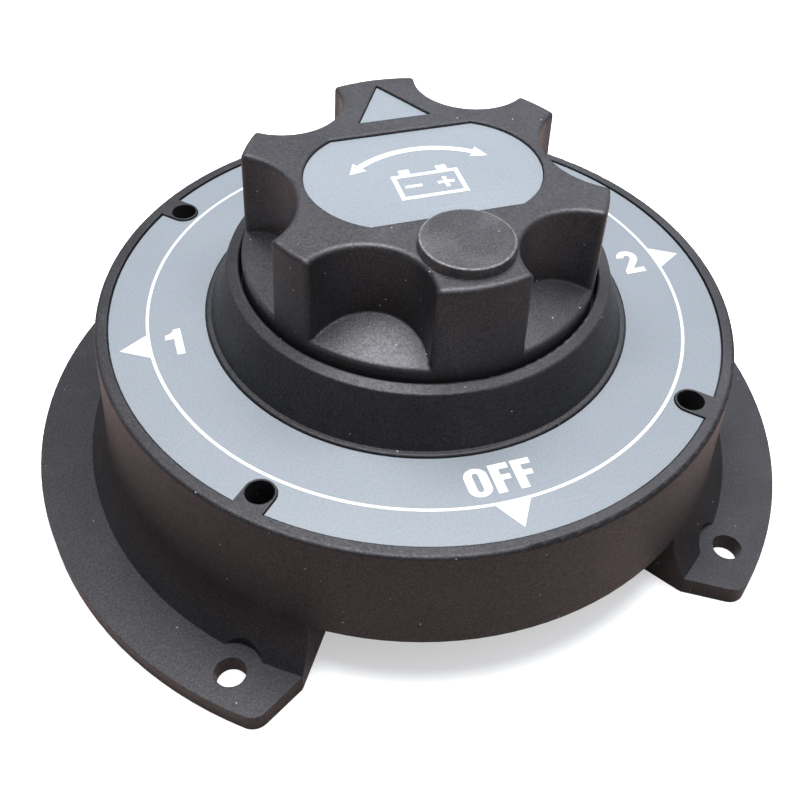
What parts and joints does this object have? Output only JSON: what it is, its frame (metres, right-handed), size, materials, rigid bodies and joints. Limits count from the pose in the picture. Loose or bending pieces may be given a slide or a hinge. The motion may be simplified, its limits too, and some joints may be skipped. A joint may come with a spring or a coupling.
{
  "type": "battery switch",
  "caption": "Round surface-mounted rotary battery selector switch with a lobed knob, a printed dial ring, crescent feet, cable openings and rear terminal studs.",
  "frame": {"origin": "on the knob axis, in the plane of the mounting face under the feet", "axes": "+Z along the knob axis, away from the mounting surface; +X towards the battery 2 mark; +Y towards the all-batteries mark, where the pointer stands at rest"},
  "size_m": [0.1648, 0.1338, 0.0712],
  "materials": {
    "housing_plastic": "fine moulded grain, matt",
    "knob_plastic": "fine moulded grain, matt",
    "plug_plastic": "fine moulded grain, worn edge",
    "label_film": "satin printed film",
    "cover_plastic": "glass-filled, matt",
    "zinc_steel": "zinc plated",
    "spring_steel": "drawn wire",
    "brass": "machined",
    "copper": "stamped copper",
    "seal_rubber": "soft matt"
  },
  "bodies": {
    "switch_base": {"housing": "housing_plastic", "face_label": "label_film", "rear_cover": "cover_plastic", "cover_gasket": "seal_rubber", "cover_screws": "zinc_steel", "common_contact": "copper", "battery_1_contact": "copper", "battery_2_contact": "copper", "terminal_studs": "brass", "seat_nuts": "brass", "flat_washers": "brass", "lock_washers": "spring_steel", "terminal_nuts": "brass"},
    "knob_assembly": {"knob": "knob_plastic", "knob_label": "label_film", "pointer_label": "label_film", "lock_plug": "plug_plastic", "knob_screw": "zinc_steel", "knob_washer": "zinc_steel", "shaft": "brass", "shaft_seal": "seal_rubber", "rotor": "cover_plastic", "contact_springs": "spring_steel", "detent_springs": "spring_steel"},
    "contact_bridge": {"moving_contact": "copper"},
    "detents": {"detent_balls": "zinc_steel"}
  },
  "joints": [
    {"name": "knob_turn", "type": "hinge", "parent": "switch_base", "child": "knob_assembly", "pos_m": [0, 0, 0.05], "axis": [0, 0, 1], "continuous": true},
    {"name": "contact_lift", "type": "slide", "parent": "knob_assembly", "child": "contact_bridge", "axis": [0, 0, 1], "range_m": [0, 0.0006], "stiffness_N_per_m": 1500, "springref_m": -0.004, "deforming": ["contact_springs"]},
    {"name": "detent_travel", "type": "slide", "parent": "knob_assembly", "child": "detents", "axis": [0, 0, 1], "range_m": [0, 0.0008], "stiffness_N_per_m": 200, "springref_m": 0.008, "deforming": ["detent_springs"]}
  ]
}
